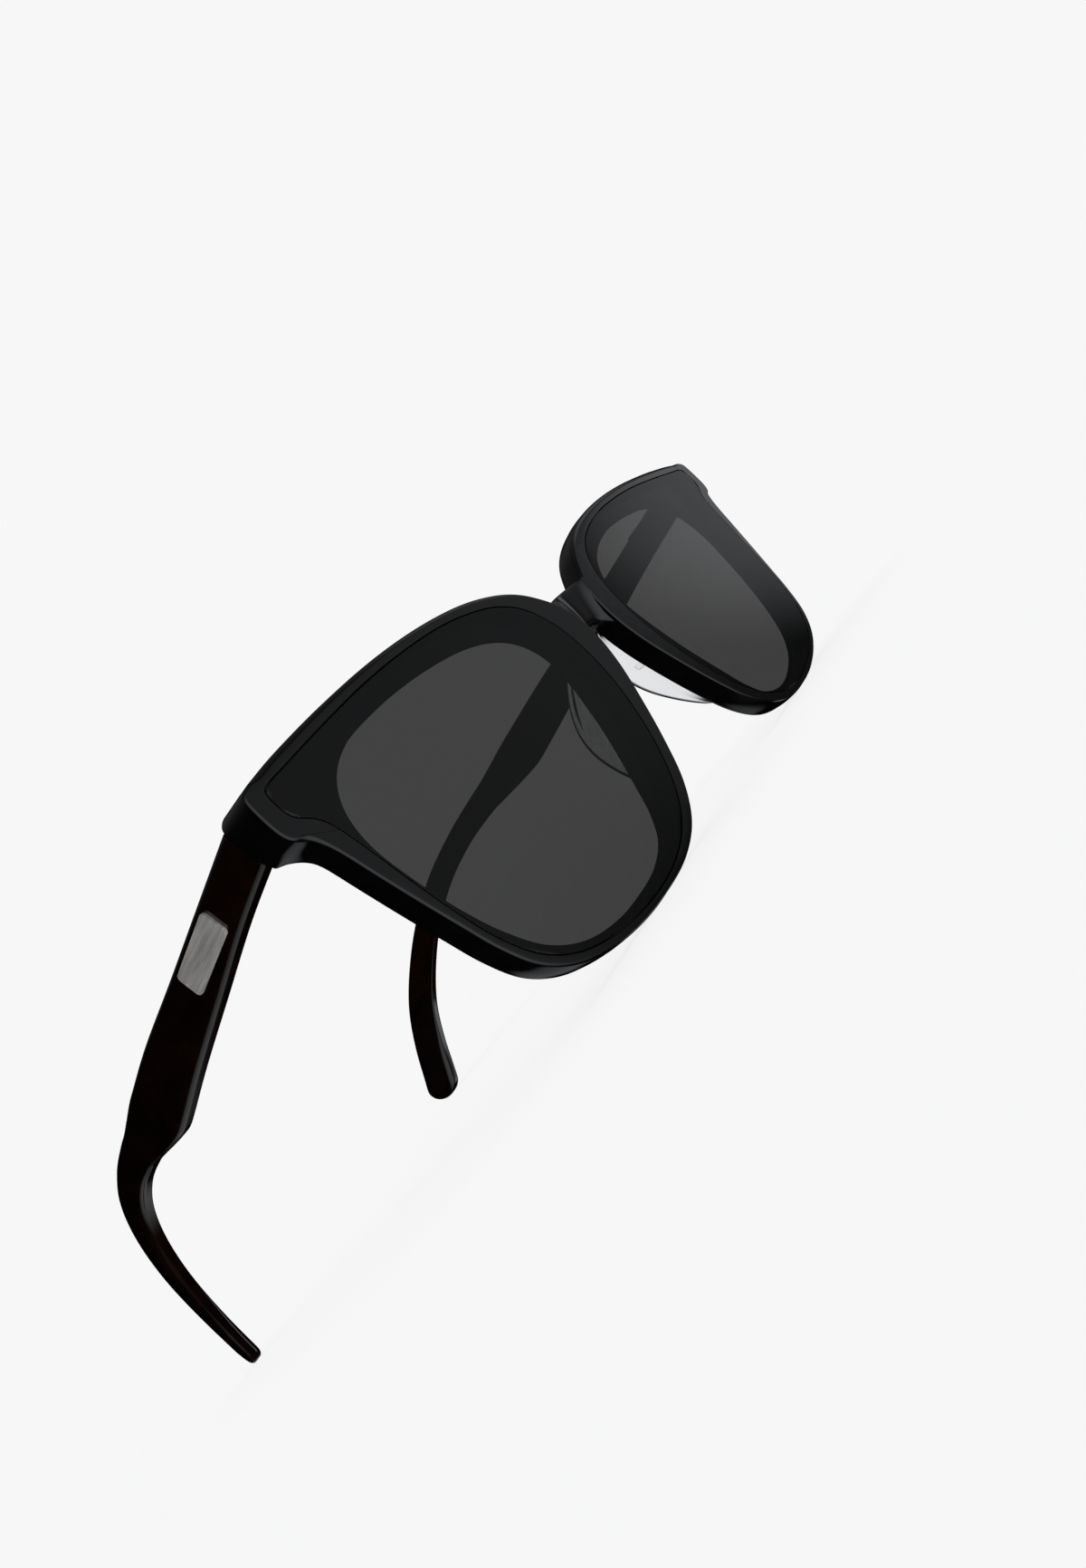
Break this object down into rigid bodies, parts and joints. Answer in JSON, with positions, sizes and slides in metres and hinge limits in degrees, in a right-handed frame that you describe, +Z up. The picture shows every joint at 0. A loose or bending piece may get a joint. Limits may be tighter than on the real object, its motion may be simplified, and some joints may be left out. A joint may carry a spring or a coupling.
{
  "type": "sunglasses",
  "caption": "Square sunglasses with a thick glossy black front, flush dark lenses, clear nose pads and temples with hooked tips that fold on screwed hinges.",
  "frame": {"origin": "middle of the whole's bounding box, on the surface it stands on", "axes": "+X to the wearer's left, -Y the way the lenses face, +Z up; the glasses stand open on the rims' bottoms and the temples' tips"},
  "size_m": [0.1398, 0.1394, 0.0443],
  "materials": {
    "front_plastic": "polished black",
    "temple_plastic": "polished, very dark reddish brown",
    "lens": "polished, dark grey tint",
    "clear_pad": "clear, polished",
    "hinge_steel": "satin",
    "screw_steel": "bright",
    "plaque_metal": "polished silver"
  },
  "bodies": {
    "front": {"front_frame": "front_plastic", "left_lens": "lens", "left_nose_pad": "clear_pad", "left_pad_peg": "hinge_steel", "left_front_hinge": "hinge_steel", "left_hinge_screw": "screw_steel", "right_lens": "lens", "right_nose_pad": "clear_pad", "right_pad_peg": "hinge_steel", "right_front_hinge": "hinge_steel", "right_hinge_screw": "screw_steel"},
    "left_temple_body": {"left_temple": "temple_plastic", "left_temple_hinge": "hinge_steel", "left_hinge_rivets": "screw_steel", "left_core_wire": "hinge_steel", "left_plaque": "plaque_metal"},
    "right_temple_body": {"right_temple": "temple_plastic", "right_temple_hinge": "hinge_steel", "right_hinge_rivets": "screw_steel", "right_core_wire": "hinge_steel", "right_plaque": "plaque_metal"}
  },
  "joints": [
    {"name": "left_hinge", "type": "hinge", "parent": "front", "child": "left_temple_body", "pos_m": [0.0643, -0.06012, 0.03829], "axis": [0, 0, 1], "range_deg": [0, 78]},
    {"name": "right_hinge", "type": "hinge", "parent": "front", "child": "right_temple_body", "pos_m": [-0.0643, -0.06012, 0.03829], "axis": [0, 0, -1], "range_deg": [0, 70]}
  ]
}
